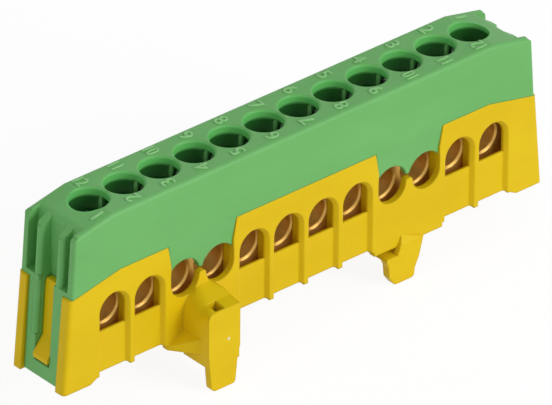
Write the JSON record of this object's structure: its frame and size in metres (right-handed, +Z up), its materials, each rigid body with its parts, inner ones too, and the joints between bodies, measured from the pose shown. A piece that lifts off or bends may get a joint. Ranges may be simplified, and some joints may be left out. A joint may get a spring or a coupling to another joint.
{
  "type": "earth terminal bar",
  "caption": "Brass earth bar with a row of screw-clamped wire entries, in a two-part moulded housing with feet that clip onto a mounting rail.",
  "frame": {"origin": "on the plane of the soles of the feet, below the middle of the housing", "axes": "+X along the row of terminals, towards the entry with the highest number; +Y across the bar; +Z up through the screw heads"},
  "size_m": [0.092, 0.0232, 0.033],
  "materials": {
    "green_plastic": "satin moulded polyamide",
    "yellow_plastic": "satin moulded polyamide",
    "brass": "sawn and drilled",
    "steel": "zinc plated"
  },
  "bodies": {
    "housing": {"cover": "green_plastic", "base": "yellow_plastic", "brass_bar": "brass"},
    "clamp_01": {"screw_01": "steel"},
    "clamp_02": {"screw_02": "steel"},
    "clamp_03": {"screw_03": "steel"},
    "clamp_04": {"screw_04": "steel"},
    "clamp_05": {"screw_05": "steel"},
    "clamp_06": {"screw_06": "steel"},
    "clamp_07": {"screw_07": "steel"},
    "clamp_08": {"screw_08": "steel"},
    "clamp_09": {"screw_09": "steel"},
    "clamp_10": {"screw_10": "steel"},
    "clamp_11": {"screw_11": "steel"},
    "clamp_12": {"screw_12": "steel"}
  },
  "joints": [
    {"name": "screw_01_travel", "type": "slide", "parent": "housing", "child": "clamp_01", "axis": [0, 0, 1], "range_m": [-0.0048, 0]},
    {"name": "screw_02_travel", "type": "slide", "parent": "housing", "child": "clamp_02", "axis": [0, 0, 1], "range_m": [-0.0048, 0]},
    {"name": "screw_03_travel", "type": "slide", "parent": "housing", "child": "clamp_03", "axis": [0, 0, 1], "range_m": [-0.0048, 0]},
    {"name": "screw_04_travel", "type": "slide", "parent": "housing", "child": "clamp_04", "axis": [0, 0, 1], "range_m": [-0.0048, 0]},
    {"name": "screw_05_travel", "type": "slide", "parent": "housing", "child": "clamp_05", "axis": [0, 0, 1], "range_m": [-0.0048, 0]},
    {"name": "screw_06_travel", "type": "slide", "parent": "housing", "child": "clamp_06", "axis": [0, 0, 1], "range_m": [-0.0048, 0]},
    {"name": "screw_07_travel", "type": "slide", "parent": "housing", "child": "clamp_07", "axis": [0, 0, 1], "range_m": [-0.0048, 0]},
    {"name": "screw_08_travel", "type": "slide", "parent": "housing", "child": "clamp_08", "axis": [0, 0, 1], "range_m": [-0.0048, 0]},
    {"name": "screw_09_travel", "type": "slide", "parent": "housing", "child": "clamp_09", "axis": [0, 0, 1], "range_m": [-0.0048, 0]},
    {"name": "screw_10_travel", "type": "slide", "parent": "housing", "child": "clamp_10", "axis": [0, 0, 1], "range_m": [-0.0048, 0]},
    {"name": "screw_11_travel", "type": "slide", "parent": "housing", "child": "clamp_11", "axis": [0, 0, 1], "range_m": [-0.0048, 0]},
    {"name": "screw_12_travel", "type": "slide", "parent": "housing", "child": "clamp_12", "axis": [0, 0, 1], "range_m": [-0.0048, 0]}
  ]
}
